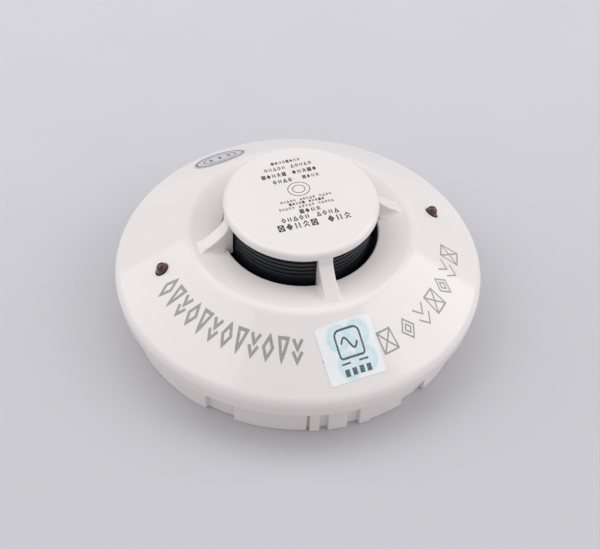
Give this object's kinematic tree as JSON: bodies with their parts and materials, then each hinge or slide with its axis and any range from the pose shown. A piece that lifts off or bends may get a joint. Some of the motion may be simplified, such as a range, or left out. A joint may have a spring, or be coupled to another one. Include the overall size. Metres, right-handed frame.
{
  "type": "smoke detector head",
  "caption": "Round plug-in point detector head: a raised cap on fins over a dark sensing chamber, a conical cover and a twist-lock back with spring contacts.",
  "frame": {"origin": "centre of the ring's lower edge, on the plane the head rests on with its cap up", "axes": "+Z from the back of the head to its cap; +X and -X through the two indicator lamps; the index blocks of the twist-lock ring are near -Y"},
  "size_m": [0.102, 0.102, 0.04],
  "materials": {
    "white_plastic": "warm white moulded plastic with a soft sheen",
    "black_plastic": "black moulded plastic, light-absorbing",
    "board_green": "green solder resist over glass laminate",
    "chip_black": "black moulding compound",
    "red_lens": "dark red clear epoxy",
    "clear_lens": "clear moulded epoxy and glass",
    "tinned_steel": "tin plate",
    "contact_brass": "stamped strip, lightly worn",
    "silver_foil": "satin foil",
    "paper_label": "coated white label"
  },
  "bodies": {
    "head_body": {"back_housing": "white_plastic", "rating_label": "paper_label", "circuit_board": "board_green", "chamber_base": "black_plastic", "infrared_emitter": "clear_lens", "photodiode": "chip_black", "receiver_lens": "clear_lens", "indicator_led_1": "red_lens", "indicator_led_2": "red_lens", "led_spacer_1": "black_plastic", "led_spacer_2": "black_plastic", "controller_chip": "chip_black", "amplifier_chip": "chip_black", "alarm_transistor": "chip_black", "bridge_rectifier": "chip_black", "surge_suppressor": "chip_black", "storage_capacitor": "silver_foil", "filter_capacitor": "silver_foil", "shield_can": "tinned_steel", "reed_switch": "clear_lens", "resistor_1": "chip_black", "resistor_2": "chip_black", "resistor_3": "chip_black", "resistor_4": "chip_black", "contact_blade_1": "contact_brass", "contact_blade_2": "contact_brass", "contact_blade_3": "contact_brass", "contact_blade_4": "contact_brass", "contact_rivet_1": "contact_brass", "contact_rivet_2": "contact_brass", "contact_rivet_3": "contact_brass", "contact_rivet_4": "contact_brass", "board_screw_1": "tinned_steel", "board_screw_2": "tinned_steel", "board_screw_3": "tinned_steel"},
    "cover_body": {"cover": "white_plastic", "square_sticker": "paper_label", "oval_sticker": "silver_foil"},
    "screen_body": {"insect_screen": "black_plastic", "chamber_lid": "black_plastic"}
  },
  "joints": [
    {"name": "cover_lift", "type": "slide", "parent": "head_body", "child": "cover_body", "axis": [0, 0, 1], "range_m": [0, 0.06]},
    {"name": "screen_lift", "type": "slide", "parent": "head_body", "child": "screen_body", "axis": [0, 0, 1], "range_m": [0, 0.03]}
  ],
  "couplings": [
    {"joint": "screen_lift", "follows": "cover_lift", "ratio": 0.5}
  ]
}
